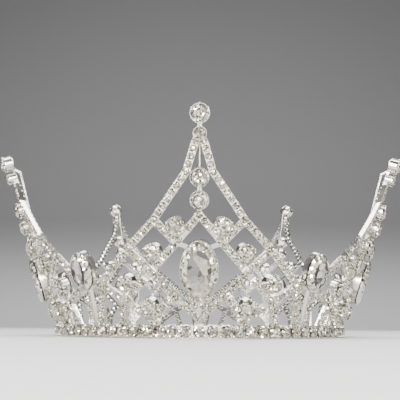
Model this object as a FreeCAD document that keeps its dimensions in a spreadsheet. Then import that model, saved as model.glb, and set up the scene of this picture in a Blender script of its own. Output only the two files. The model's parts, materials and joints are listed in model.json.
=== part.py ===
import FreeCAD, Part
import Sketcher
import math
import os
from collections import namedtuple

Vector = FreeCAD.Vector

doc = FreeCAD.newDocument("PageantCrown")

# Driving dimensions in millimetres and degrees. The crown stands on z = 0 around the Z axis,
# with the middle of its front panel toward -Y.
DIMENSIONS = {
    "strip_inner_radius": 75.9,
    "strip_thickness": 1.1,
    "strip_bottom": 0.5,
    "strip_top": 5.4,
    "cup_count": 84,
    "cup_width": 5.6,
    "cup_height": 6.0,
    "cup_corner_cut": 1.0,
    "cup_bore_radius": 2.3,
    "cup_start_radius": 76.4,
    "cup_end_radius": 78.6,
    "band_stone_radius": 2.7,
    "wall_foot_radius": 78.6,
    "wall_foot_height": 6.1,
    "wall_flare": 0.3627,
    "wall_thickness": 1.2,
    "wall_top_height": 94.0,
    "chain_width": 3.0,
    "tie_width": 1.8,
    "panel_count": 5,
    "panel_gap_angle": 0.6,
    "setting_rim": 2.9,
    "setting_root": 1.0,
    "setting_wall": 0.6,
    "setting_floor": 1.1,
    "oval_rim": 3.1,
    "big_oval_width": 16.2,
    "big_oval_height": 24.6,
    "big_oval_level": 29.7,
    "small_oval_width": 12.8,
    "small_oval_height": 17.8,
    "small_oval_level": 30.2,
    "small_oval_standoff": 0.15,
    "stone_clearance": 0.15,
    "post_radius": 0.75,
    "post_setback": 3.4,
    "post_top": 88.4,
    "post_bottom": 64.6,
    "seat_angle": 3.0,
    "seat_height": 18.4,
    "round_girdle": 0.3,
    "band_stone_crown": 0.95,
    "oval_girdle": 0.5,
    "oval_crown": 2.3,
}

sheet = doc.addObject("Spreadsheet::Sheet", "Dimensions")
for row, (alias, value) in enumerate(DIMENSIONS.items(), start=1):
    sheet.set(f"A{row}", alias)
    sheet.set(f"B{row}", str(value))
    sheet.setAlias(f"B{row}", alias)
doc.recompute()


def size(alias):
    return float(sheet.get(alias))


# Where the chains of one panel meet: angle from the middle of the panel in degrees, height in
# millimetres, and whether the place moves outwards on a panel that is spread wider.
Joint = namedtuple("Joint", "angle height spreads")
JOINTS = {
    "top_stone": Joint(0.0, 91.3, False),
    "top": Joint(0.0, 83.6, False),
    "crest": Joint(1.2, 79.4, False),
    "bend": Joint(3.1, 68.9, False),
    "upper_joint": Joint(11.9, 49.6, True),
    "middle_joint": Joint(20.3, 38.0, True),
    "corner": Joint(31.2, 23.8, True),
    "corner_lug": Joint(34.4, 24.8, False),
    "outer_leg_foot": Joint(33.8, 5.0, False),
    "diamond_top": Joint(0.0, 51.5, False),
    "tie_end": Joint(6.2, 40.1, False),
    "diamond_side": Joint(13.9, 28.3, False),
    "lower_joint": Joint(23.0, 16.1, False),
    "inner_leg_foot": Joint(25.3, 5.0, False),
    "brace_top": Joint(7.8, 18.5, False),
    "brace_bend": Joint(12.3, 11.6, False),
    "arch_side": Joint(16.2, 9.6, False),
    "arch_foot": Joint(13.9, 5.0, False),
    "diamond_foot": Joint(0.0, 8.8, False),
    "middle_leg_foot": Joint(0.0, 5.0, False),
    "third_stone": Joint(0.0, 66.4, False),
    "oval_shoulder": Joint(3.2, 38.2, False),
    "low_stone": Joint(21.6, 24.1, False),
    "low_stone_tie": Joint(18.4, 22.5, False),
}

# Each chain runs through its joints, and its mirror image runs through the same joints on the
# other side of the panel.
Chain = namedtuple("Chain", "width joints")
CHAINS = [
    Chain("chain_width", ["top", "crest", "bend", "upper_joint", "middle_joint", "corner"]),
    Chain("chain_width", ["corner", "outer_leg_foot"]),
    Chain("chain_width", ["middle_joint", "diamond_side", "brace_top", "diamond_foot"]),
    Chain("chain_width", ["diamond_top", "tie_end", "diamond_side", "lower_joint", "inner_leg_foot"]),
    Chain("chain_width", ["corner", "lower_joint", "arch_side", "arch_foot"]),
    Chain("chain_width", ["brace_top", "brace_bend", "arch_foot"]),
    Chain("chain_width", ["upper_joint", "tie_end"]),
    Chain("chain_width", ["diamond_foot", "middle_leg_foot"]),
    Chain("tie_width", ["corner", "corner_lug"]),
    Chain("tie_width", ["tie_end", "oval_shoulder"]),
    Chain("tie_width", ["low_stone", "low_stone_tie"]),
    Chain("tie_width", ["diamond_top", "third_stone"]),
    Chain("tie_width", ["top", "top_stone"]),
]

# Round stones of one panel. A stone off the middle line has a twin on the other side.
Stone = namedtuple("Stone", "angle height radius")
ROUND_STONES = [
    Stone(0.0, 91.3, 4.0),
    Stone(0.0, 83.6, 2.7),
    Stone(0.0, 66.4, 3.9),
    Stone(0.0, 57.5, 3.9),
    Stone(6.1, 46.8, 4.1),
    Stone(12.7, 36.6, 3.8),
    Stone(21.6, 24.1, 3.8),
    Stone(15.1, 14.1, 3.7),
]

# The panels go round the band. The two at the sides are spread a little wider.
Panel = namedtuple("Panel", "name turn spread")
PANELS = [
    Panel("front", 0, 1.0),
    Panel("right", 1, 1.08),
    Panel("right_back", 2, 1.0),
    Panel("left_back", 3, 1.0),
    Panel("left", 4, 1.08),
]
VALLEYS = ["right_front", "right_rear", "back", "left_rear", "left_front"]

panel_step = 360.0 / size("panel_count")
flare_angle = math.atan(size("wall_flare"))
wall_normal_thickness = size("wall_thickness") / math.cos(flare_angle)


def wall_radius(height):
    """Radius of the outer face of the flared wall at a height."""
    return size("wall_foot_radius") + size("wall_flare") * (height - size("wall_foot_height"))


def front_view(angle, height):
    """Where a place on the wall lies in the front view of its panel."""
    return Vector(wall_radius(height) * math.sin(math.radians(angle)), 0, height)


def wall_placement(angle, height):
    """Local Z points out of the wall, local Y up along it, and the origin is on its outer face."""
    turn = math.radians(angle)
    along = Vector(math.cos(turn), math.sin(turn), 0)
    up = Vector(
        math.sin(turn) * math.sin(flare_angle), -math.cos(turn) * math.sin(flare_angle), math.cos(flare_angle)
    )
    outward = along.cross(up)
    radius = wall_radius(height)
    place = Vector(radius * math.sin(turn), -radius * math.cos(turn), height)
    return FreeCAD.Placement(place, FreeCAD.Rotation(along, up, outward, "ZXY"))


def placed(shape, placement):
    copy = shape.copy()
    copy.Placement = placement.multiply(copy.Placement)
    return copy


def feature(label, shape, turn_angle=0.0):
    """A sub-part whose shape is worked out here, turned about the crown's axis."""
    item = doc.addObject("Part::Feature", label)
    item.Label = label
    item.Shape = shape
    turn = FreeCAD.Placement(Vector(), FreeCAD.Rotation(Vector(0, 0, 1), turn_angle))
    item.Placement = turn.multiply(shape.Placement)
    return item


# Base band: a flat strip bent into a ring, with a row of eight-sided cups soldered round it.
def origin_plane(body, role):
    return next(item for item in body.Origin.OriginFeatures if item.Role == role)


def attached_sketch(body, name, role, offset=0.0):
    sketch = body.newObject("Sketcher::SketchObject", name)
    sketch.AttachmentSupport = (origin_plane(body, role), "")
    sketch.MapMode = "FlatFace"
    sketch.AttachmentOffset = FreeCAD.Placement(Vector(0, 0, offset), FreeCAD.Rotation())
    return sketch


def add_outline(sketch, corners):
    """Closed outline of straight lines through the corners, each end held to the next start."""
    count = len(corners)
    first = sketch.GeometryCount
    for index in range(count):
        sketch.addGeometry(Part.LineSegment(corners[index], corners[(index + 1) % count]))
    for index in range(count):
        end_of, start_of = first + index, first + (index + 1) % count
        sketch.addConstraint(Sketcher.Constraint("Coincident", end_of, 2, start_of, 1))


def build_base_band():
    body = doc.addObject("PartDesign::Body", "base_band")
    body.Label = "base_band"

    section = attached_sketch(body, "StripSection", "XZ_Plane")
    inner = size("strip_inner_radius")
    outer = inner + size("strip_thickness")
    bottom = size("strip_bottom")
    top = size("strip_top")
    add_outline(section, [Vector(inner, bottom), Vector(outer, bottom), Vector(outer, top), Vector(inner, top)])
    line, start = 0, 1
    section.addConstraint(Sketcher.Constraint("Horizontal", 0))
    section.addConstraint(Sketcher.Constraint("Vertical", 1))
    section.addConstraint(Sketcher.Constraint("Horizontal", 2))
    section.addConstraint(Sketcher.Constraint("Vertical", 3))
    named_sizes = [
        ("DistanceX", -1, 1, line, start, inner, "strip_inner_radius"),
        ("DistanceY", -1, 1, line, start, bottom, "strip_bottom"),
        ("DistanceX", line, start, line, 2, outer - inner, "strip_thickness"),
        ("DistanceY", -1, 1, 2, start, top, "strip_top"),
    ]
    for kind, first, first_end, second, second_end, value, alias in named_sizes:
        index = section.addConstraint(Sketcher.Constraint(kind, first, first_end, second, second_end, value))
        section.renameConstraint(index, alias)
        section.setExpression(f"Constraints.{alias}", f"Dimensions.{alias}")

    ring = body.newObject("PartDesign::Revolution", "Strip")
    ring.Profile = section
    ring.ReferenceAxis = (section, ["V_Axis"])
    ring.Angle = 360.0
    doc.recompute()

    cup_outline = attached_sketch(body, "CupOutline", "XZ_Plane", size("cup_start_radius"))
    cup_outline.setExpression("AttachmentOffset.Base.z", "Dimensions.cup_start_radius")
    half_width = size("cup_width") / 2
    height = size("cup_height")
    cut = size("cup_corner_cut")
    add_outline(cup_outline, [
        Vector(half_width - cut, 0), Vector(half_width, cut),
        Vector(half_width, height - cut), Vector(half_width - cut, height),
        Vector(cut - half_width, height), Vector(-half_width, height - cut),
        Vector(-half_width, cut), Vector(cut - half_width, 0),
    ])
    bore = cup_outline.addGeometry(Part.Circle(Vector(0, height / 2), Vector(0, 0, 1), size("cup_bore_radius")))
    radius_index = cup_outline.addConstraint(Sketcher.Constraint("Radius", bore, size("cup_bore_radius")))
    cup_outline.renameConstraint(radius_index, "bore")
    cup_outline.setExpression("Constraints.bore", "Dimensions.cup_bore_radius")

    cup = body.newObject("PartDesign::Pad", "Cup")
    cup.Profile = cup_outline
    cup.setExpression("Length", "Dimensions.cup_end_radius - Dimensions.cup_start_radius")
    doc.recompute()

    cups = body.newObject("PartDesign::PolarPattern", "Cups")
    cups.Originals = [cup]
    cups.Axis = (origin_plane(body, "Z_Axis"), [""])
    cups.Angle = 360.0
    cups.setExpression("Occurrences", "Dimensions.cup_count")
    body.Tip = cups
    return body


# Cut stones: each ring of corners is joined to the next one by flat triangles or quads.
def ellipse_ring(corner_count, half_width, half_height, level, turn=0.0):
    step = 2 * math.pi / corner_count
    return [
        Vector(half_width * math.cos((i + turn) * step), half_height * math.sin((i + turn) * step), level)
        for i in range(corner_count)
    ]


def flat_face(corners):
    return Part.Face(Part.makePolygon(corners + [corners[0]]))


def facets_between(lower, upper):
    """Flat facets from one ring to the next, where one ring may have twice the corners."""
    facets = []
    if len(lower) == len(upper):
        for i in range(len(lower)):
            j = (i + 1) % len(lower)
            facets.append(flat_face([lower[i], lower[j], upper[j]]))
            facets.append(flat_face([lower[i], upper[j], upper[i]]))
        return facets
    few, many = (lower, upper) if len(lower) < len(upper) else (upper, lower)
    for i in range(len(few)):
        middle = many[(2 * i + 1) % len(many)]
        after = many[(2 * i + 2) % len(many)]
        facets.append(flat_face([few[i], few[(i + 1) % len(few)], middle]))
        facets.append(flat_face([few[i], many[2 * i], middle]))
        facets.append(flat_face([few[(i + 1) % len(few)], middle, after]))
    return facets


def cut_stone(rings):
    facets = [flat_face(rings[0]), flat_face(rings[-1])]
    for lower, upper in zip(rings, rings[1:]):
        facets += facets_between(lower, upper)
    solid = Part.Solid(Part.Shell(facets))
    if solid.Volume < 0:
        solid.reverse()
    return solid


# Shares of a round stone's radius.
ROUND_TABLE, ROUND_CULET, ROUND_BACK, ROUND_CROWN = 0.58, 0.45, 0.55, 0.36


def round_stone(radius, crown_height, with_girdle=True):
    """Eight-sided table and culet with a sixteen-sided girdle. Level zero is the girdle."""
    sides = 8
    culet = ellipse_ring(sides, ROUND_CULET * radius, ROUND_CULET * radius, -ROUND_BACK * radius)
    girdle = ellipse_ring(2 * sides, radius, radius, 0)
    table = ellipse_ring(sides, ROUND_TABLE * radius, ROUND_TABLE * radius, crown_height)
    rings = [culet, girdle, table]
    if with_girdle:
        rings.insert(2, ellipse_ring(2 * sides, radius, radius, size("round_girdle")))
    return cut_stone(rings)


# Rings of an oval stone above its girdle: share of the width, of the height and of the crown.
OVAL_CULET = (0.55, 0.6)
OVAL_SHOULDER = (0.84, 0.88, 0.62)
OVAL_TABLE = (0.6, 0.68)


def oval_stone(width, height, table_level, back_level):
    """Sixteen-sided oval with two rows of crown facets. Level zero is the girdle."""
    sides = 16
    half_width, half_height = width / 2, height / 2
    wide, high, rise = OVAL_SHOULDER
    rings = [
        ellipse_ring(sides, OVAL_CULET[0] * half_width, OVAL_CULET[1] * half_height, back_level),
        ellipse_ring(sides, half_width, half_height, 0),
        ellipse_ring(sides, half_width, half_height, size("oval_girdle")),
        ellipse_ring(sides, wide * half_width, high * half_height, rise * table_level, turn=0.5),
        ellipse_ring(sides, OVAL_TABLE[0] * half_width, OVAL_TABLE[1] * half_height, table_level),
    ]
    return cut_stone(rings)


# A stone hangs over its cup: the girdle is this much above the rim, and the slanted back of the
# stone goes down inside the bore.
girdle_above_rim = size("setting_wall")


def round_setting(radius):
    """Cup with a bored middle, rooted in the thickness of the wall."""
    outer = radius + size("stone_clearance")
    root = -size("setting_root")
    cup = Part.makeCylinder(outer, size("setting_rim") - root, Vector(0, 0, root))
    bore = Part.makeCylinder(
        outer - size("setting_wall"), size("setting_rim"), Vector(0, 0, size("setting_floor"))
    )
    return cup.cut(bore)


def elliptic_prism(half_width, half_height, low, high):
    ellipse = Part.Ellipse(Vector(0, 0, low), half_height, half_width)
    ellipse.rotate(FreeCAD.Placement(Vector(0, 0, low), FreeCAD.Rotation(Vector(0, 0, 1), 90)))
    return Part.Face(Part.Wire(ellipse.toShape())).extrude(Vector(0, 0, high - low))


def oval_setting(width, height, root):
    clearance = size("stone_clearance")
    wall = size("setting_wall")
    half_width = width / 2 + clearance
    half_height = height / 2 + clearance
    cup = elliptic_prism(half_width, half_height, root, size("oval_rim"))
    bore = elliptic_prism(half_width - wall, half_height - wall, size("setting_floor"), 2 * size("oval_rim"))
    return cup.cut(bore)


def panel_joints(spread):
    """Front view of each joint of a panel."""
    return {
        name: front_view(joint.angle * (spread if joint.spreads else 1.0), joint.height)
        for name, joint in JOINTS.items()
    }


def mirrored(point):
    return Vector(-point.x, point.y, point.z)


def facing_front(face):
    """Every piece of the front view faces the same way, so that they fuse without filling a gap."""
    return face if face.normalAt(0, 0).y < 0 else face.reversed()


def strip_outline(start, end, width):
    """Flat bar between two places in the front view."""
    across = (end - start).cross(Vector(0, 1, 0)).normalize() * (width / 2)
    return facing_front(flat_face([start + across, end + across, end - across, start - across]))


def round_end(centre, width):
    return facing_front(Part.Face(Part.Wire(Part.makeCircle(width / 2, centre, Vector(0, 1, 0)))))


def lattice_outline(spread):
    """All chains of a panel in its front view, fused into one flat face."""
    joints = panel_joints(spread)
    pieces = []
    for chain in CHAINS:
        width = size(chain.width)
        route = [joints[name] for name in chain.joints]
        for side_route in (route, [mirrored(point) for point in route]):
            for start, end in zip(side_route, side_route[1:]):
                pieces.append(strip_outline(start, end, width))
            pieces += [round_end(point, width) for point in side_route]
    seat_top = front_view(size("seat_angle"), size("seat_height"))
    pieces.append(facing_front(flat_face([seat_top, mirrored(seat_top), joints["diamond_foot"]])))
    return pieces[0].multiFuse(pieces[1:]).removeSplitter()


def wall_shell():
    """Flared wall over the width of one panel."""
    low = size("wall_foot_height")
    high = size("wall_top_height")
    corners = [
        Vector(wall_radius(low) - wall_normal_thickness, 0, low),
        Vector(wall_radius(low), 0, low),
        Vector(wall_radius(high), 0, high),
        Vector(wall_radius(high) - wall_normal_thickness, 0, high),
    ]
    arc = panel_step - size("panel_gap_angle")
    section = flat_face(corners)
    section.rotate(Vector(), Vector(0, 0, 1), -90 - arc / 2)
    return section.revolve(Vector(), Vector(0, 0, 1), arc)


def rod(points, radius):
    """Round wire through the points, with a ball at each bend."""
    runs = []
    for start, end in zip(points, points[1:]):
        runs.append(Part.makeCylinder(radius, (end - start).Length, start, end - start))
    balls = [Part.makeSphere(radius, point) for point in points[1:-1]]
    return runs[0].multiFuse(runs[1:] + balls)


def tip_post():
    """Wire loop behind the tip, from the back of the top stone's cup to the third stone's cup."""
    setback = size("post_setback")
    high = size("post_top")
    low = size("post_bottom")
    half_wall = wall_normal_thickness / 2
    points = [
        Vector(0, half_wall - wall_radius(high), high),
        Vector(0, setback - wall_radius(high - setback), high - setback / 2),
        Vector(0, setback - wall_radius(low + setback), low + setback / 2),
        Vector(0, half_wall - wall_radius(low), low),
    ]
    return rod(points, size("post_radius"))


def twins(stone):
    return [stone.angle] if stone.angle == 0 else [stone.angle, -stone.angle]


def panel_frame_shape(spread):
    """One panel as it is soldered: chain lattice, stone cups, big oval's cup and tip post."""
    margin = 1.0
    depth_near = wall_radius(size("wall_top_height")) + margin
    depth_far = size("strip_inner_radius") * math.cos(math.radians(panel_step / 2)) - margin
    outline = lattice_outline(spread)
    outline.translate(Vector(0, -depth_near, 0))
    lattice = outline.extrude(Vector(0, depth_near - depth_far, 0)).common(wall_shell())
    cups = [
        placed(round_setting(stone.radius), wall_placement(angle, stone.height))
        for stone in ROUND_STONES
        for angle in twins(stone)
    ]
    oval_cup = placed(
        oval_setting(size("big_oval_width"), size("big_oval_height"), -size("setting_root")),
        wall_placement(0, size("big_oval_level")),
    )
    return lattice.multiFuse(cups + [oval_cup, tip_post()])


def build_round_stones(panel):
    level = Vector(0, 0, size("setting_rim") + girdle_above_rim)
    stones = []
    for stone in ROUND_STONES:
        for angle in twins(stone):
            gem = round_stone(stone.radius, ROUND_CROWN * stone.radius)
            gem.translate(level)
            stones.append(placed(gem, wall_placement(angle, stone.height)))
    return feature(f"{panel.name}_round_stones", Part.makeCompound(stones), panel.turn * panel_step)


def build_oval(label, width, height, turn_angle, level_height, standoff=0.0):
    """A stone whose back goes down most of the way to its cup's floor."""
    rim_height = size("oval_rim") + girdle_above_rim + standoff
    back_share = 0.9
    gem = oval_stone(width, height, size("oval_crown"), back_share * (size("setting_floor") - size("oval_rim")))
    gem.translate(Vector(0, 0, rim_height))
    return feature(label, placed(gem, wall_placement(0, level_height)), turn_angle)


def build_small_setting(label, turn_angle):
    cup = oval_setting(size("small_oval_width"), size("small_oval_height"), 0)
    cup.translate(Vector(0, 0, size("small_oval_standoff")))
    return feature(label, placed(cup, wall_placement(0, size("small_oval_level"))), turn_angle)


def build_band_stones():
    """One round stone in front of each cup of the base band."""
    count = int(size("cup_count"))
    gem = round_stone(size("band_stone_radius"), size("band_stone_crown"), with_girdle=False)
    gem.rotate(Vector(), Vector(1, 0, 0), 90)
    gem.translate(Vector(0, -size("cup_end_radius") - girdle_above_rim, size("cup_height") / 2))
    stones = []
    for index in range(count):
        stone = gem.copy()
        stone.rotate(Vector(), Vector(0, 0, 1), index * 360.0 / count)
        stones.append(stone)
    return feature("band_stones", Part.makeCompound(stones))


frame_shapes = {spread: panel_frame_shape(spread) for spread in {panel.spread for panel in PANELS}}

parts = [build_base_band(), build_band_stones()]
for panel in PANELS:
    parts.append(feature(f"{panel.name}_panel", frame_shapes[panel.spread], panel.turn * panel_step))
    parts.append(build_round_stones(panel))
    parts.append(
        build_oval(
            f"{panel.name}_big_oval", size("big_oval_width"), size("big_oval_height"),
            panel.turn * panel_step, size("big_oval_level"),
        )
    )
for index, valley in enumerate(VALLEYS):
    valley_angle = (index + 0.5) * panel_step
    parts.append(build_small_setting(f"{valley}_small_setting", valley_angle))
    parts.append(
        build_oval(
            f"{valley}_small_oval", size("small_oval_width"), size("small_oval_height"),
            valley_angle, size("small_oval_level"), size("small_oval_standoff"),
        )
    )
doc.recompute()

for item in doc.Objects:
    failed = {"Invalid", "Error"} & set(item.State)
    if failed:
        raise RuntimeError(f"{item.Label} did not recompute: {failed}")
for part in parts:
    if part.Shape.isNull() or not part.Shape.isValid():
        raise RuntimeError(f"{part.Label} has no valid shape")

# The row's origin is on the floor, under the middle of the box that holds the whole crown.
bounds = FreeCAD.BoundBox()
for part in parts:
    bounds.add(part.Shape.optimalBoundingBox(False, False))
centring = FreeCAD.Placement(Vector(-bounds.Center.x, -bounds.Center.y, 0), FreeCAD.Rotation())
for part in parts:
    part.Placement = centring.multiply(part.Placement)
print("axis of the ring", centring.Base)

os.makedirs("parts", exist_ok=True)
for part in parts:
    part.Shape.exportStep(f"parts/{part.Label}.step")
    print(part.Label, "solids", len(part.Shape.Solids), "volume", round(part.Shape.Volume, 1))
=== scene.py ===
import json
import math
from collections import namedtuple

import bmesh
import bpy
from mathutils import Matrix, Vector

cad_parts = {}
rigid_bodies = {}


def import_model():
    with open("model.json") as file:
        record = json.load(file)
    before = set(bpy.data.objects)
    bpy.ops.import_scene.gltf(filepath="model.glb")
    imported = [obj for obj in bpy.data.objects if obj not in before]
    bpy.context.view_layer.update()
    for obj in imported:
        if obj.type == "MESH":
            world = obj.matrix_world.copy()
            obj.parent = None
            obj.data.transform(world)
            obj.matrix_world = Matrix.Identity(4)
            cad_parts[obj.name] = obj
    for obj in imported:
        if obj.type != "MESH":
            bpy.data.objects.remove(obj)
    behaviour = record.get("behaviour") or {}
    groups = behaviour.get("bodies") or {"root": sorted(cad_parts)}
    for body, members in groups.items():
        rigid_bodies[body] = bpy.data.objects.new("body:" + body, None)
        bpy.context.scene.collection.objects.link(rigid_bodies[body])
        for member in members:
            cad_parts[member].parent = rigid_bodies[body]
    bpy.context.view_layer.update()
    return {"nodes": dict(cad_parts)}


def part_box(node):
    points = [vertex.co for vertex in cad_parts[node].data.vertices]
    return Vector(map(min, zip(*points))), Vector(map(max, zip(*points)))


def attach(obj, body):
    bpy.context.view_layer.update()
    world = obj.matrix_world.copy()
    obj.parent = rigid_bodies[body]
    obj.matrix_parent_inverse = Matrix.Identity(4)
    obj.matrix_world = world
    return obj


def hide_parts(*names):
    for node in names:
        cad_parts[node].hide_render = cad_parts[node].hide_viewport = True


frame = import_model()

MM = 0.001
nodes = frame["nodes"]
scene_items = bpy.context.scene.collection.objects

# Camera: a normal lens close to the crown and just above the table, tilted up to its peaks.
# The ring's own axis stands a little behind the row's origin, at the middle of the base band.
band_low, band_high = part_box("base_band")
ring_axis = Vector(((band_low.x + band_high.x) / 2, (band_low.y + band_high.y) / 2, 0))
camera_distance = 325.6 * MM
camera_height = 5.34 * MM
camera_tilt = math.radians(12.8)
camera_orbit = math.radians(0.295)
camera_pan = math.radians(0.066)
camera_roll = 0.007
lens_length = 50.0
sensor_width = 36.0
lens_data = bpy.data.cameras.new("camera")
lens_data.lens = lens_length
lens_data.sensor_width = sensor_width
lens_data.clip_start = 0.01
camera = bpy.data.objects.new("camera", lens_data)
camera_place = Vector((
    camera_distance * math.sin(camera_orbit),
    -camera_distance * math.cos(camera_orbit),
    camera_height,
))
camera.matrix_world = (
    Matrix.Translation(ring_axis + camera_place)
    @ Matrix.Rotation(camera_orbit + camera_pan, 4, "Z")
    @ Matrix.Rotation(math.pi / 2 + camera_tilt, 4, "X")
    @ Matrix.Rotation(camera_roll, 4, "Z")
)
scene_items.link(camera)
bpy.context.scene.camera = camera


# Silver plate on the base band, the panels and the small ovals' cups: bright cast and pressed
# metal, a little uneven where it was soldered and polished.
class Nodes:
    """A node tree, with one method that makes any node: its type, its settings, its inputs."""

    def __init__(self, tree):
        self.tree = tree
        tree.nodes.clear()

    def add(self, kind, settings=None, **inputs):
        node = self.tree.nodes.new(kind)
        for name, value in (settings or {}).items():
            setattr(node, name, value)
        for name, value in inputs.items():
            number = name.removeprefix("input_")
            key = int(number) if number.isdigit() else name.replace("_", " ")
            self.fill(node.inputs[key], value)
        return node

    def fill(self, socket, value):
        if isinstance(value, Amount):
            value = value.socket
        if isinstance(value, bpy.types.NodeSocket):
            self.tree.links.new(value, socket)
        else:
            socket.default_value = value


class Amount:
    """A number in a node tree that takes part in plain arithmetic."""

    def __init__(self, nodes_of, socket):
        self.nodes_of, self.socket = nodes_of, socket

    def combine(self, operation, first, second):
        settings = {"operation": operation}
        node = self.nodes_of.add("ShaderNodeMath", settings, input_0=first, input_1=second)
        return Amount(self.nodes_of, node.outputs[0])

    def __add__(self, other):
        return self.combine("ADD", self, other)

    def __radd__(self, other):
        return self.combine("ADD", other, self)

    def __sub__(self, other):
        return self.combine("SUBTRACT", self, other)

    def __rsub__(self, other):
        return self.combine("SUBTRACT", other, self)

    def __mul__(self, other):
        return self.combine("MULTIPLY", self, other)

    def __rmul__(self, other):
        return self.combine("MULTIPLY", other, self)

    def power(self, exponent):
        return self.combine("POWER", self, exponent)


def new_material(name):
    """Material with one plain shader, its node tree and the Object coordinates."""
    material = bpy.data.materials.new(name)
    material.use_nodes = True
    made = Nodes(material.node_tree)
    shader = made.add("ShaderNodeBsdfPrincipled")
    made.add("ShaderNodeOutputMaterial", Surface=shader.outputs[0])
    place = made.add("ShaderNodeTexCoord").outputs["Object"]
    return material, made, shader, place


def blend_colours(made, amount, first, second):
    """Colour that goes from the first to the second as the amount goes from 0 to 1."""
    settings = {"data_type": "RGBA"}
    mix = made.add("ShaderNodeMix", settings, input_0=amount, input_6=first, input_7=second)
    return mix.outputs[2]


def silver_plate():
    """Polished silver with soft clouds of tarnish and a fine grain."""
    material, made, shader, place = new_material("silver_plate")
    cloudy = made.add("ShaderNodeTexNoise", Vector=place, Scale=160.0, Detail=4.0)
    grain = made.add("ShaderNodeTexNoise", Vector=place, Scale=1900.0, Detail=2.0)
    cloud = Amount(made, cloudy.outputs[0])
    dull_silver = (0.46, 0.445, 0.39, 1)
    bright_silver = (0.9, 0.88, 0.82, 1)
    made.fill(shader.inputs["Base Color"], blend_colours(made, cloud, dull_silver, bright_silver))
    made.fill(shader.inputs["Roughness"], 0.08 + 0.2 * cloud)
    bump = made.add("ShaderNodeBump", Strength=0.25, Distance=0.00008, Height=grain.outputs[0])
    made.fill(shader.inputs["Normal"], bump.outputs[0])
    shader.inputs["Metallic"].default_value = 1.0
    return material


plate = silver_plate()


def finish_node(name, material):
    """Gives a CAD node one finish and leaves its mesh alone."""
    data = nodes[name].data
    data.materials.clear()
    data.materials.append(material)


for name in nodes:
    if name.endswith(("_panel", "_small_setting")) or name == "base_band":
        finish_node(name, plate)


# Round stones: foil-backed glass brilliants. What shows is a patchwork of small facets, each
# mirroring the foil behind it at its own angle, with a painted reflection in its colour: a painted
# dark reflection or a painted glint over the stones' warm tone.
def foiled_glass(name, facet_size, dark, bright, scatter):
    """Glass over foil in facets of one size, tilted by the scatter, each painted from a dark reflection
    to a bright glint.
    """
    material, made, shader, place = new_material(name)
    facets = made.add("ShaderNodeTexVoronoi", Vector=place, Scale=1 / facet_size)
    speck = made.add("ShaderNodeSeparateColor", Color=facets.outputs["Color"])
    chance = Amount(made, speck.outputs[0])
    # Painted reflections: each facet's base colour goes from a painted dark reflection to a painted
    # glint.
    made.fill(shader.inputs["Base Color"], blend_colours(made, chance.power(0.7), dark, bright))
    middle = (0.5, 0.5, 0.5)
    tilt = made.add("ShaderNodeVectorMath", {"operation": "SUBTRACT"},
                    input_0=facets.outputs["Color"], input_1=middle)
    face = made.add("ShaderNodeNewGeometry").outputs["Normal"]
    turned = made.add("ShaderNodeVectorMath", {"operation": "MULTIPLY_ADD"},
                      input_0=tilt.outputs[0], input_1=(scatter, scatter, scatter), input_2=face)
    straight = made.add("ShaderNodeVectorMath", {"operation": "NORMALIZE"},
                        input_0=turned.outputs[0])
    made.fill(shader.inputs["Normal"], straight.outputs[0])
    shader.inputs["Metallic"].default_value = 0.9
    shader.inputs["Roughness"].default_value = 0.07
    shader.inputs["Coat Weight"].default_value = 0.45
    shader.inputs["Coat Roughness"].default_value = 0.03
    return material


stone_scatter = 1.4
# Painted reflections: the first colour is a painted dark reflection, the second a painted glint, both in
# the stones' warm tone.
round_glass = foiled_glass(
    "round_stone_glass", 0.85 * MM, (0.055, 0.045, 0.024, 1), (0.9, 0.85, 0.71, 1), stone_scatter)
for name in nodes:
    if name.endswith("_round_stones") or name == "band_stones":
        finish_node(name, round_glass)


# Cup chain: 3 mm glass stones in pressed cups with four claws, soldered side by side along every
# strip of the panels. Its places are degrees round the ring from a panel's middle, and
# millimetres above the table. The joints spread a little in the two wider side panels.
Place = namedtuple("Place", "angle height spreads")
PLACES = {
    "top": Place(0.0, 83.6, False),
    "crest": Place(1.2, 79.4, False),
    "bend": Place(3.1, 68.9, False),
    "upper_joint": Place(11.9, 49.6, True),
    "middle_joint": Place(20.3, 38.0, True),
    "corner": Place(31.2, 23.8, True),
    "outer_leg_foot": Place(33.8, 7.4, False),
    "diamond_top": Place(0.0, 51.5, False),
    "tie_end": Place(6.2, 40.1, False),
    "diamond_side": Place(13.9, 28.3, False),
    "lower_joint": Place(23.0, 16.1, False),
    "inner_leg_foot": Place(25.2, 7.4, False),
    "brace_top": Place(7.8, 18.5, False),
    "brace_bend": Place(12.3, 11.6, False),
    "arch_side": Place(16.2, 9.6, False),
    "arch_foot": Place(14.0, 7.4, False),
    "diamond_foot": Place(0.0, 8.8, False),
}
CHAIN_RUNS = [
    ["top", "crest", "bend", "upper_joint", "middle_joint", "corner", "outer_leg_foot"],
    ["middle_joint", "diamond_side", "brace_top", "diamond_foot"],
    ["diamond_top", "tie_end", "diamond_side", "lower_joint", "inner_leg_foot"],
    ["corner", "lower_joint", "arch_side", "arch_foot"],
    ["brace_top", "brace_bend", "arch_foot"],
    ["upper_joint", "tie_end"],
]
SEAT_STONES = [(-2.35, 17.3), (0.0, 17.3), (2.35, 17.3), (-1.2, 14.2), (1.2, 14.2), (0.0, 11.4)]
seat_stone_lean = math.pi / 4
Round = namedtuple("Round", "angle height radius")
ROUNDS = [
    Round(0.0, 91.3, 4.0),
    Round(0.0, 83.6, 2.7),
    Round(0.0, 66.4, 3.9),
    Round(0.0, 57.5, 3.9),
    Round(6.1, 46.8, 4.1),
    Round(12.7, 36.6, 3.8),
    Round(21.6, 24.1, 3.8),
    Round(15.1, 14.1, 3.7),
]
cup_wall = 0.7
Panel = namedtuple("Panel", "angle spread")
PANELS = [Panel(0, 1.0), Panel(72, 1.08), Panel(144, 1.0), Panel(216, 1.0), Panel(288, 1.08)]
wall_foot_radius = 78.6 * MM
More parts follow.
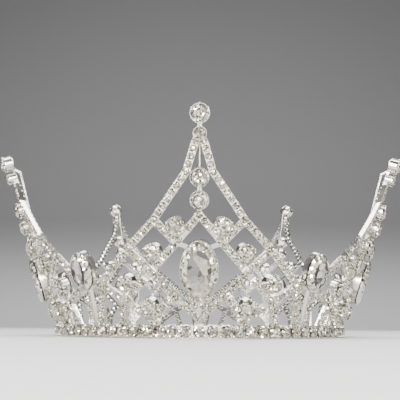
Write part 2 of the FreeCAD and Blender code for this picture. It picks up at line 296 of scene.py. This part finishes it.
wall_foot_height = 6.1 * MM
wall_flare = 0.3627
flare_angle = math.atan(wall_flare)
chain_pitch = 3.45 * MM
least_pitch = 0.8 * chain_pitch
Spot = namedtuple("Spot", "place facing along size", defaults=[(1.0, 1.0, 1.0)])


def wall_radius(height):
    """Radius of the outer face of the flared wall at a height."""
    return wall_foot_radius + wall_flare * (height - wall_foot_height)


def on_wall(angle, height, turn=0.0):
    """Place, outward direction and upward direction on the outer face of the flared wall."""
    around = math.radians(angle + turn)
    radius = wall_radius(height)
    place = ring_axis + Vector((radius * math.sin(around), -radius * math.cos(around), height))
    level = math.cos(flare_angle)
    lean = math.sin(flare_angle)
    facing = Vector((math.sin(around) * level, -math.cos(around) * level, -lean))
    up = Vector((math.sin(around) * lean, -math.cos(around) * lean, level))
    return place, facing, up


def run_points(run, spread, side):
    """Evenly spaced (angle, height, lean) along one chain, straight in the panel's front view."""
    flat = []
    for name in run:
        spot = PLACES[name]
        angle = math.radians(spot.angle * (spread if spot.spreads else 1.0)) * side
        height = spot.height * MM
        flat.append((wall_radius(height) * math.sin(angle), height))
    legs = []
    for (start_across, start_height), (end_across, end_height) in zip(flat, flat[1:]):
        sideways = end_across - start_across
        upward = end_height - start_height
        slope = upward / math.cos(flare_angle)
        legs.append((start_across, start_height, sideways, upward, slope, math.hypot(sideways, slope)))
    whole = sum(leg[-1] for leg in legs)
    count = max(1, round(whole / chain_pitch))
    rounding = 1e-9
    points = []
    for step in range(count + 1):
        travelled = whole * step / count
        for start_across, start_height, sideways, upward, slope, length in legs:
            if travelled <= length + rounding:
                share = travelled / length
                height = start_height + upward * share
                across = start_across + sideways * share
                angle = math.degrees(math.asin(across / wall_radius(height)))
                points.append((angle, height, math.atan2(sideways, slope)))
                break
            travelled -= length
    return points


def chain_spots():
    """Where each chain stone sits, leaving out doubles at the joints and what a cup covers."""
    spots = []
    for panel in PANELS:
        taken = []
        covered = [
            (on_wall(side * stone.angle, stone.height * MM)[0], (stone.radius + cup_wall) * MM)
            for stone in ROUNDS for side in (1, -1)
        ]
        wanted = []
        for run in CHAIN_RUNS:
            for side in (1, -1):
                wanted += run_points(run, panel.spread, side)
        wanted += [(angle, height * MM, seat_stone_lean) for angle, height in SEAT_STONES]
        for angle, height, lean in wanted:
            here = on_wall(angle, height)[0]
            crowded = any((here - other).length < least_pitch for other in taken)
            hidden = any((here - centre).length < reach for centre, reach in covered)
            if not (crowded or hidden):
                taken.append(here)
                place, facing, up = on_wall(angle, height, panel.angle)
                along = up * math.cos(lean) + up.cross(facing) * math.sin(lean)
                spots.append(Spot(place, facing, along))
    return spots


def spot_mesh(name, spots):
    """Loose points that carry the way each one faces, the way its top points and its scale."""
    mesh = bpy.data.meshes.new(name)
    mesh.from_pydata([spot.place for spot in spots], [], [])
    for title in ("facing", "along", "size"):
        field = mesh.attributes.new(title, "FLOAT_VECTOR", "POINT")
        field.data.foreach_set("vector", [part for spot in spots for part in getattr(spot, title)])
    return mesh


def begin_tree(name, sizes):
    """Geometry Nodes tree that takes points and named sizes."""
    tree = bpy.data.node_groups.new(name, "GeometryNodeTree")
    tree.interface.new_socket("Points", in_out="INPUT", socket_type="NodeSocketGeometry")
    for title, (kind, value) in sizes.items():
        socket = tree.interface.new_socket(title, in_out="INPUT", socket_type=kind)
        if value is not None:
            socket.default_value = value
    tree.interface.new_socket("Geometry", in_out="OUTPUT", socket_type="NodeSocketGeometry")
    made = Nodes(tree)
    return tree, made, made.add("NodeGroupInput").outputs


def end_tree(made, given, shape):
    """Sets the shape on every point, turned as the point says, and gives it its finish."""
    vector = {"data_type": "FLOAT_VECTOR"}
    facing = made.add("GeometryNodeInputNamedAttribute", vector, Name="facing")
    along = made.add("GeometryNodeInputNamedAttribute", vector, Name="along")
    size = made.add("GeometryNodeInputNamedAttribute", vector, Name="size")
    outward = made.add("FunctionNodeAlignRotationToVector", {"axis": "Z"}, Vector=facing.outputs[0])
    upright = made.add("FunctionNodeAlignRotationToVector", {"axis": "Y", "pivot_axis": "Z"},
                       Rotation=outward.outputs[0], Vector=along.outputs[0])
    set_out = made.add("GeometryNodeInstanceOnPoints", Points=given["Points"], Instance=shape,
                       Rotation=upright.outputs[0], Scale=size.outputs[0])
    real = made.add("GeometryNodeRealizeInstances", Geometry=set_out.outputs[0])
    coated = made.add("GeometryNodeSetMaterial", Geometry=real.outputs[0], Material=given["Finish"])
    made.add("NodeGroupOutput", Geometry=coated.outputs[0])


def cone(made, sides, bottom, top, depth):
    """Closed taper that stands on its lower end."""
    taper = made.add("GeometryNodeMeshCone", {"fill_type": "NGON"}, Vertices=sides,
                     Radius_Bottom=bottom, Radius_Top=top, Depth=depth)
    return taper.outputs[0]


def lifted(made, shape, height):
    """The shape moved outwards by a height."""
    offset = made.add("ShaderNodeCombineXYZ", Z=height)
    raised = made.add("GeometryNodeTransform", Geometry=shape, Translation=offset.outputs[0])
    return raised.outputs[0]


def joined(made, shapes):
    """All the shapes as one."""
    join = made.add("GeometryNodeJoinGeometry")
    for shape in shapes:
        made.tree.links.new(shape, join.inputs[0])
    return join.outputs[0]


LENGTH = "NodeSocketFloat"
NUMBER = "NodeSocketInt"
FINISH = "NodeSocketMaterial"


def gem_tree():
    """Ten-sided cut stone: table, crown, girdle and the top of its back."""
    tree, made, given = begin_tree("cut_stone", {
        "Sides": (NUMBER, 10),
        "Radius": (LENGTH, 1.6 * MM),
        "Seat": (LENGTH, 0.95 * MM),
        "Finish": (FINISH, None),
    })
    sides = given["Sides"]
    radius = Amount(made, given["Radius"])
    seat = Amount(made, given["Seat"])
    culet = radius * 0.6
    table = radius * 0.52
    back_depth = radius * 0.3
    crown_height = radius * 0.4
    back = cone(made, sides, culet, radius, back_depth)
    crown = cone(made, sides, radius, table, crown_height)
    shape = joined(made, [lifted(made, back, seat - back_depth), lifted(made, crown, seat)])
    end_tree(made, given, shape)
    return tree


def cup_tree():
    """Square tapered cup with a claw at each corner and a round bead on the strip's inner face."""
    tree, made, given = begin_tree("claw_cup", {
        "Sides": (NUMBER, 4),
        "Half Width": (LENGTH, 1.64 * MM),
        "Depth": (LENGTH, 0.8 * MM),
        "Back": (LENGTH, 1.2 * MM),
        "Bead Sides": (NUMBER, 10),
        "Bead Height": (LENGTH, 0.75 * MM),
        "Claws": (NUMBER, 4),
        "Claw Sides": (NUMBER, 5),
        "Claw Radius": (LENGTH, 0.34 * MM),
        "Claw Height": (LENGTH, 0.6 * MM),
        "Claw Root": (LENGTH, 0.05 * MM),
        "Finish": (FINISH, None),
    })
    half_width = Amount(made, given["Half Width"])
    corner = half_width * math.sqrt(2)
    depth = Amount(made, given["Depth"])
    back = Amount(made, given["Back"])
    bead_height = Amount(made, given["Bead Height"])
    claw_radius = Amount(made, given["Claw Radius"])
    sunk = back * 0.5
    wall = cone(made, given["Sides"], corner * 0.92, corner, depth + sunk)
    bead = cone(made, given["Bead Sides"], half_width * 0.55, half_width, bead_height)
    ring = made.add("GeometryNodeMeshCircle", Vertices=given["Claws"],
                    Radius=corner - claw_radius * 1.5)
    claw = cone(made, given["Claw Sides"], claw_radius, claw_radius * 0.6, given["Claw Height"])
    claws = made.add("GeometryNodeInstanceOnPoints", Points=ring.outputs[0], Instance=claw)
    shape = joined(made, [
        lifted(made, wall, 0 - sunk),
        lifted(made, bead, 0 - back - bead_height * 0.9),
        lifted(made, claws.outputs[0], depth - Amount(made, given["Claw Root"])),
    ])
    squared = made.add("GeometryNodeTransform", Geometry=shape, Rotation=(0, 0, math.pi / 4))
    end_tree(made, given, squared.outputs[0])
    return tree


def grown(name, spots, tree, values, material):
    """Runs a tree over the points and keeps the result as a plain piece that rides on the crown."""
    source = bpy.data.objects.new(name + "_points", spot_mesh(name + "_points", spots))
    scene_items.link(source)
    modifier = source.modifiers.new("grow", "NODES")
    modifier.node_group = tree
    values = {**values, "Finish": material}
    for socket in tree.interface.items_tree:
        if socket.in_out == "INPUT" and socket.name in values:
            modifier[socket.identifier] = values[socket.name]
    shown = source.evaluated_get(bpy.context.evaluated_depsgraph_get())
    mesh = bpy.data.meshes.new_from_object(shown)
    mesh.name = name
    source.modifiers.clear()
    bpy.data.objects.remove(source)
    piece = bpy.data.objects.new(name, mesh)
    scene_items.link(piece)
    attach(piece, "root")


chain_places = chain_spots()
# Painted reflections: the first colour is a painted dark reflection, the second a painted glint, both in
# the stones' warm tone.
chain_glass = foiled_glass(
    "chain_stone_glass", 0.66 * MM, (0.06, 0.05, 0.027, 1), (0.9, 0.845, 0.7, 1), stone_scatter)
grown("chain_cups", chain_places, cup_tree(), {}, plate)
grown("chain_stones", chain_places, gem_tree(), {}, chain_glass)


# Cup backs: the rounded backs of the stones' cups, of plated metal pressed with the cups. They
# stand out of the inner face of the panels and of the small settings.
BackSize = namedtuple("BackSize", "half_width half_height depth")
back_sunk = 0.9 * MM
small_back_raised = 0.3 * MM
big_oval_back = BackSize(7.6 * MM, 11.8 * MM, 5.0 * MM)
small_oval_back = BackSize(6.2 * MM, 8.7 * MM, 4.6 * MM)
big_oval_height = 29.7 * MM
small_oval_height = 30.2 * MM
panel_step = 72
valley_angle = 36


def round_places(panel):
    """Each round stone of a panel, with its place and directions on the wall."""
    for stone in ROUNDS:
        for side in ((1, -1) if stone.angle else (1,)):
            yield stone, *on_wall(side * stone.angle, stone.height * MM, panel.angle)


def back_spots():
    """Where each cup's back is, and its size across, up and outwards."""
    spots = []
    for index, panel in enumerate(PANELS):
        for stone, place, facing, up in round_places(panel):
            size = [stone.radius * MM] * 3
            spots.append(Spot(place - facing * back_sunk, facing, up, size))
        place, facing, up = on_wall(0, big_oval_height, panel.angle)
        spots.append(Spot(place - facing * back_sunk, facing, up, big_oval_back))
        place, facing, up = on_wall(valley_angle, small_oval_height, panel_step * index)
        spots.append(Spot(place + facing * small_back_raised, facing, up, small_oval_back))
    return spots


def back_tree():
    """Flattened ball of radius 1, of which the back half shows. The point's size scales it."""
    tree, made, given = begin_tree("cup_back", {
        "Segments": (NUMBER, 20),
        "Rings": (NUMBER, 10),
        "Flatness": (LENGTH, 0.34),
        "Finish": (FINISH, None),
    })
    ball = made.add("GeometryNodeMeshUVSphere", Segments=given["Segments"], Rings=given["Rings"],
                    Radius=1.0)
    squashed = made.add("ShaderNodeCombineXYZ", X=1.0, Y=1.0, Z=given["Flatness"])
    flat = made.add("GeometryNodeTransform", Geometry=ball.outputs[0], Scale=squashed.outputs[0])
    end_tree(made, given, flat.outputs[0])
    return tree


grown("cup_backs", back_spots(), back_tree(), {}, plate)


# Claws: short round wires of the same plated metal, soldered to the cups. Six grip the edge of
# each round stone, and four stand at the corners of each cup of the base band.
claw_count = 6
claw_root = 2.5 * MM
claw_offset = 0.05
band_stone_count = 84
band_claw_radius = 78.4 * MM
BAND_CLAWS = [(-1.95, 0.75), (1.95, 0.75), (-1.95, 5.25), (1.95, 5.25)]


def claw_spots():
    """Six claws round each round stone, their rounded sides outwards."""
    spots = []
    for panel in PANELS:
        for stone, place, facing, up in round_places(panel):
            across = up.cross(facing)
            reach = (stone.radius + claw_offset) * MM
            for claw in range(claw_count):
                turn = 2 * math.pi * (claw + 0.5) / claw_count
                out = across * math.cos(turn) + up * math.sin(turn)
                spots.append(Spot(place + out * reach + facing * claw_root, facing, out))
    return spots


def band_claw_spots():
    """Four claws at the corners of each stone's cup in the base band."""
    upright = Vector((0, 0, 1))
    spots = []
    for index in range(band_stone_count):
        for sideways, height in BAND_CLAWS:
            around = 2 * math.pi * index / band_stone_count + math.atan2(sideways * MM, band_claw_radius)
            facing = Vector((math.sin(around), -math.cos(around), 0))
            place = ring_axis + facing * band_claw_radius + upright * height * MM
            spots.append(Spot(place, facing, upright))
    return spots


def claw_tree():
    """One claw: a tapered wire with a rounded tip."""
    tree, made, given = begin_tree("claw", {
        "Sides": (NUMBER, 6),
        "Radius": (LENGTH, 0.42 * MM),
        "Height": (LENGTH, 1.03 * MM),
        "Finish": (FINISH, None),
    })
    sides = given["Sides"]
    radius = Amount(made, given["Radius"])
    height = Amount(made, given["Height"])
    neck = radius * 0.9
    stem = cone(made, sides, radius, neck, height)
    tip = cone(made, sides, neck, radius * 0.4, radius * 0.6)
    end_tree(made, given, joined(made, [stem, lifted(made, tip, height)]))
    return tree


claw_maker = claw_tree()
band_claw_size = {"Radius": 0.5 * MM, "Height": 0.95 * MM}
grown("round_stone_claws", claw_spots(), claw_maker, {}, plate)
grown("band_claws", band_claw_spots(), claw_maker, band_claw_size, plate)


# Oval stones: ten large clear stones with a flat table, rows of facets round it and a foiled back.
# Light goes in through the clear crown and comes back off the mirror steps behind it. The foil's
# pale, warm and dark blocks are painted reflections, and the rim's facets carry painted glints.
def clear_crystal():
    """Clear glass of the table, with a faint haze."""
    material, made, shader, place = new_material("oval_stone_crystal")
    haze = made.add("ShaderNodeTexNoise", Vector=place, Scale=420.0, Detail=3.0)
    made.fill(shader.inputs["Roughness"], 0.03 * Amount(made, haze.outputs[0]))
    shader.inputs["Base Color"].default_value = (0.97, 0.97, 0.95, 1)
    shader.inputs["Transmission Weight"].default_value = 1.0
    shader.inputs["IOR"].default_value = 1.55
    return material


def mirror_foil():
    """Foil of the stone's back: blocks whose colours are painted reflections, pale, warm or dark."""
    material, made, shader, place = new_material("oval_stone_foil")
    block_size = 3.6 * MM
    blocks = made.add("ShaderNodeTexVoronoi", Vector=place, Scale=1 / block_size)
    speck = made.add("ShaderNodeSeparateColor", Color=blocks.outputs["Color"])
    chance = Amount(made, speck.outputs[0])
    warmth = Amount(made, speck.outputs[1])
    # Painted reflections: the pale, warm and dark block colours stand in for what each mirror step
    # reflects.
    painted_cool_reflection = (0.68, 0.68, 0.71, 1)
    painted_warm_reflection = (0.72, 0.65, 0.48, 1)
    painted_dark_reflection = (0.05, 0.048, 0.04, 1)
    pale = blend_colours(made, warmth, painted_cool_reflection, painted_warm_reflection)
    made.fill(shader.inputs["Base Color"], blend_colours(made, chance.power(1.3), painted_dark_reflection, pale))
    cloudy = made.add("ShaderNodeTexNoise", Vector=place, Scale=300.0, Detail=3.0)
    made.fill(shader.inputs["Roughness"], 0.04 + 0.08 * Amount(made, cloudy.outputs[0]))
    shader.inputs["Metallic"].default_value = 1.0
    return material


crystal = clear_crystal()
foil = mirror_foil()
rim_scatter = 1.1
# Painted reflections: the rim facets' colour goes from a painted dark reflection to a painted glint.
rim_glass = foiled_glass(
    "oval_rim_glass", 1.3 * MM, (0.1, 0.085, 0.05, 1), (0.95, 0.91, 0.79, 1), rim_scatter)
Ring = namedtuple("Ring", "width height level half_step block")
oval_corners = 24
block_corners = 3
OVAL_RINGS = [
    Ring(0.03, 0.34, -1.75, False, True),
    Ring(0.42, 0.58, -1.3, False, True),
    Ring(0.76, 0.82, -0.75, False, True),
    Ring(1.0, 1.0, 0.0, False, False),
    Ring(1.0, 1.0, 0.5, False, False),
    Ring(0.9, 0.93, 1.15, True, False),
    Ring(0.78, 0.83, 1.75, False, False),
    Ring(0.64, 0.72, 2.3, True, False),
]
foiled_rings = 3
clear_face, foil_face, rim_face = 0, 1, 2


def ring_direction(ring, index):
    """Where a corner lies round its ring; a blocked ring has straight runs of three corners."""
    step = 2 * math.pi / oval_corners
    if not ring.block:
        turn = step * (index + (0.5 if ring.half_step else 0))
        return math.cos(turn), math.sin(turn)
    block, inside = divmod(index, block_corners)
    share = inside / block_corners
    before = block_corners * block * step
    after = block_corners * (block + 1) * step
    sideways = math.cos(before) * (1 - share) + math.cos(after) * share
    upward = math.sin(before) * (1 - share) + math.sin(after) * share
    return sideways, upward


def oval_piece(name, size, angle, height, rim):
    """Cut oval: rings joined by flat facets, closed by the table in front and the culet behind."""
    place, facing, up = on_wall(0, height, angle)
    across = up.cross(facing)
    mesh = bmesh.new()
    rings = []
    for ring in OVAL_RINGS:
        corners = []
        for index in range(oval_corners):
            sideways, upward = ring_direction(ring, index)
            x = size[0] / 2 * ring.width * sideways
            y = size[1] / 2 * ring.height * upward
            out = rim + ring.level * MM
            corners.append(mesh.verts.new(place + across * x + up * y + facing * out))
        rings.append(corners)
    mesh.faces.new(list(reversed(rings[0]))).material_index = foil_face
    mesh.faces.new(rings[-1]).material_index = clear_face
    for index, (lower, upper) in enumerate(zip(rings, rings[1:])):
        shift = OVAL_RINGS[index].half_step - OVAL_RINGS[index + 1].half_step
        for corner in range(oval_corners):
            after = (corner + 1) % oval_corners
            a, b, c, d = lower[corner], lower[after], upper[after], upper[corner]
            if shift == 0:
                facets = [(a, b, c, d)]
            elif shift < 0:
                facets = [(a, b, d), (b, c, d)]
            else:
                facets = [(a, b, c), (a, c, d)]
            finish = foil_face if index < foiled_rings else rim_face
            for facet in facets:
                mesh.faces.new(facet).material_index = finish
    bmesh.ops.recalc_face_normals(mesh, faces=mesh.faces)
    data = bpy.data.meshes.new(name)
    mesh.to_mesh(data)
    mesh.free()
    data.materials.append(crystal)
    data.materials.append(foil)
    data.materials.append(rim_glass)
    piece = bpy.data.objects.new(name, data)
    scene_items.link(piece)
    return piece


big_oval_rim = 3.7 * MM
small_oval_rim = 3.73 * MM
big_oval_size = (16.2 * MM, 24.6 * MM)
small_oval_size = (12.8 * MM, 17.8 * MM)
panel_names = ["front", "right", "right_back", "left_back", "left"]
valley_names = ["right_front", "right_rear", "back", "left_rear", "left_front"]
for index, name in enumerate(panel_names):
    angle = panel_step * index
    piece = oval_piece(
        name + "_big_oval_stone", big_oval_size, angle, big_oval_height, big_oval_rim)
    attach(piece, "root")
    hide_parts(name + "_big_oval")
for index, name in enumerate(valley_names):
    angle = panel_step * index + valley_angle
    piece = oval_piece(
        name + "_small_oval_stone", small_oval_size, angle, small_oval_height, small_oval_rim)
    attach(piece, "root")
    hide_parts(name + "_small_oval")


# Floor and backdrop: one wide sheet of pale paper that lies flat under the crown and curves up
# behind it. Its colour is painted darker as it rises, a painted shade where less light reaches, so the
# crown stands out.
def paper_sweep():
    """The sheet, from a profile of (depth, height) carried across its whole width."""
    front_edge = -4.0
    bend_start = 0.9
    bend_radius = 0.5
    bend_steps = 8
    top_edge = 2.4
    half_width = 4.0
    profile = [(front_edge, 0.0), (bend_start, 0.0)]
    for step in range(1, bend_steps + 1):
        turn = math.pi / 2 * step / bend_steps
        rise = bend_radius * (1 - math.cos(turn))
        profile.append((bend_start + bend_radius * math.sin(turn), rise))
    profile.append((bend_start + bend_radius, top_edge))
    corners = [(x, y, z) for y, z in profile for x in (-half_width, half_width)]
    faces = [(2 * i, 2 * i + 1, 2 * i + 3, 2 * i + 2) for i in range(len(profile) - 1)]
    mesh = bpy.data.meshes.new("paper_sweep")
    mesh.from_pydata(corners, [], faces)
    for polygon in mesh.polygons:
        polygon.use_smooth = True
    material, made, shader, place = new_material("pale_paper")
    fibre = made.add("ShaderNodeTexNoise", Vector=place, Scale=900.0, Detail=3.0)
    # Painted shade: the paper's colour goes from the floor grey to a darker painted shade grey as it
    # rises.
    height = made.add("ShaderNodeSeparateXYZ", Vector=place).outputs[2]
    shaded_height = 0.35
    shade = made.add("ShaderNodeMapRange", {"interpolation_type": "SMOOTHSTEP"},
                     Value=height, From_Max=shaded_height)
    amount = Amount(made, shade.outputs[0]) + 0.04 * Amount(made, fibre.outputs[0])
    floor_grey = (0.6, 0.6, 0.61, 1)
    painted_shade_grey = (0.2, 0.2, 0.205, 1)
    made.fill(shader.inputs["Base Color"], blend_colours(made, amount, floor_grey, painted_shade_grey))
    shader.inputs["Roughness"].default_value = 0.75
    mesh.materials.append(material)
    sweep = bpy.data.objects.new("paper_sweep", mesh)
    scene_items.link(sweep)
    return sweep


paper_sweep()


# Studio light: a large soft box above, one behind and one at each side, and small bright lamps
# near the camera for the sparkle of the stones. The room round them is an even grey.
warm_white = (1.0, 0.98, 0.94)
lamp_white = (1.0, 0.96, 0.88)
card_white = (1.0, 0.98, 0.95)


def area_light(name, place, target, size, power, colour=(1.0, 1.0, 1.0)):
    """Soft box that faces its target, with its size in metres and its power in watts."""
    lamp = bpy.data.lights.new(name, "AREA")
    lamp.shape = "RECTANGLE"
    lamp.size, lamp.size_y = size
    lamp.energy = power
    lamp.color = colour
    item = bpy.data.objects.new(name, lamp)
    item.location = place
    item.rotation_euler = (Vector(target) - Vector(place)).to_track_quat("-Z", "Y").to_euler()
    scene_items.link(item)


area_light("top_box", (0.0, -0.22, 1.1), (0, 0, 0.03), (1.1, 0.4), 18.0)
area_light("rear_box", (0.0, 0.6, 0.8), (0, 0, 0.03), (1.0, 0.3), 7.0)
area_light("left_box", (-0.9, -0.5, 0.5), (0, 0, 0.04), (0.45, 0.7), 9.0, warm_white)
area_light("right_box", (0.9, -0.45, 0.45), (0, 0, 0.04), (0.4, 0.7), 8.0)
area_light("front_lamp", (-0.16, -0.8, 0.4), (0, 0, 0.04), (0.12, 0.12), 5.0, lamp_white)
area_light("low_card", (-0.05, -0.55, 0.1), (0, 0, 0.03), (0.3, 0.1), 4.0, card_white)
area_light("low_lamp", (0.25, -0.7, 0.12), (0, 0, 0.04), (0.08, 0.08), 2.0, warm_white)

world = bpy.data.worlds.new("studio")
bpy.context.scene.world = world
world.use_nodes = True
sky = Nodes(world.node_tree)
around = sky.add("ShaderNodeTexCoord").outputs["Generated"]
direction = sky.add("ShaderNodeSeparateXYZ", Vector=around)
height_share = sky.add("ShaderNodeMapRange", Value=direction.outputs[2], From_Min=0.0, From_Max=0.55)
level_grey = (0.26, 0.26, 0.265, 1)
overhead_grey = (0.2, 0.2, 0.205, 1)
sky_colour = blend_colours(sky, height_share.outputs[0], level_grey, overhead_grey)
glow = sky.add("ShaderNodeBackground", Color=sky_colour, Strength=1.0)
sky.add("ShaderNodeOutputWorld", Surface=glow.outputs[0])
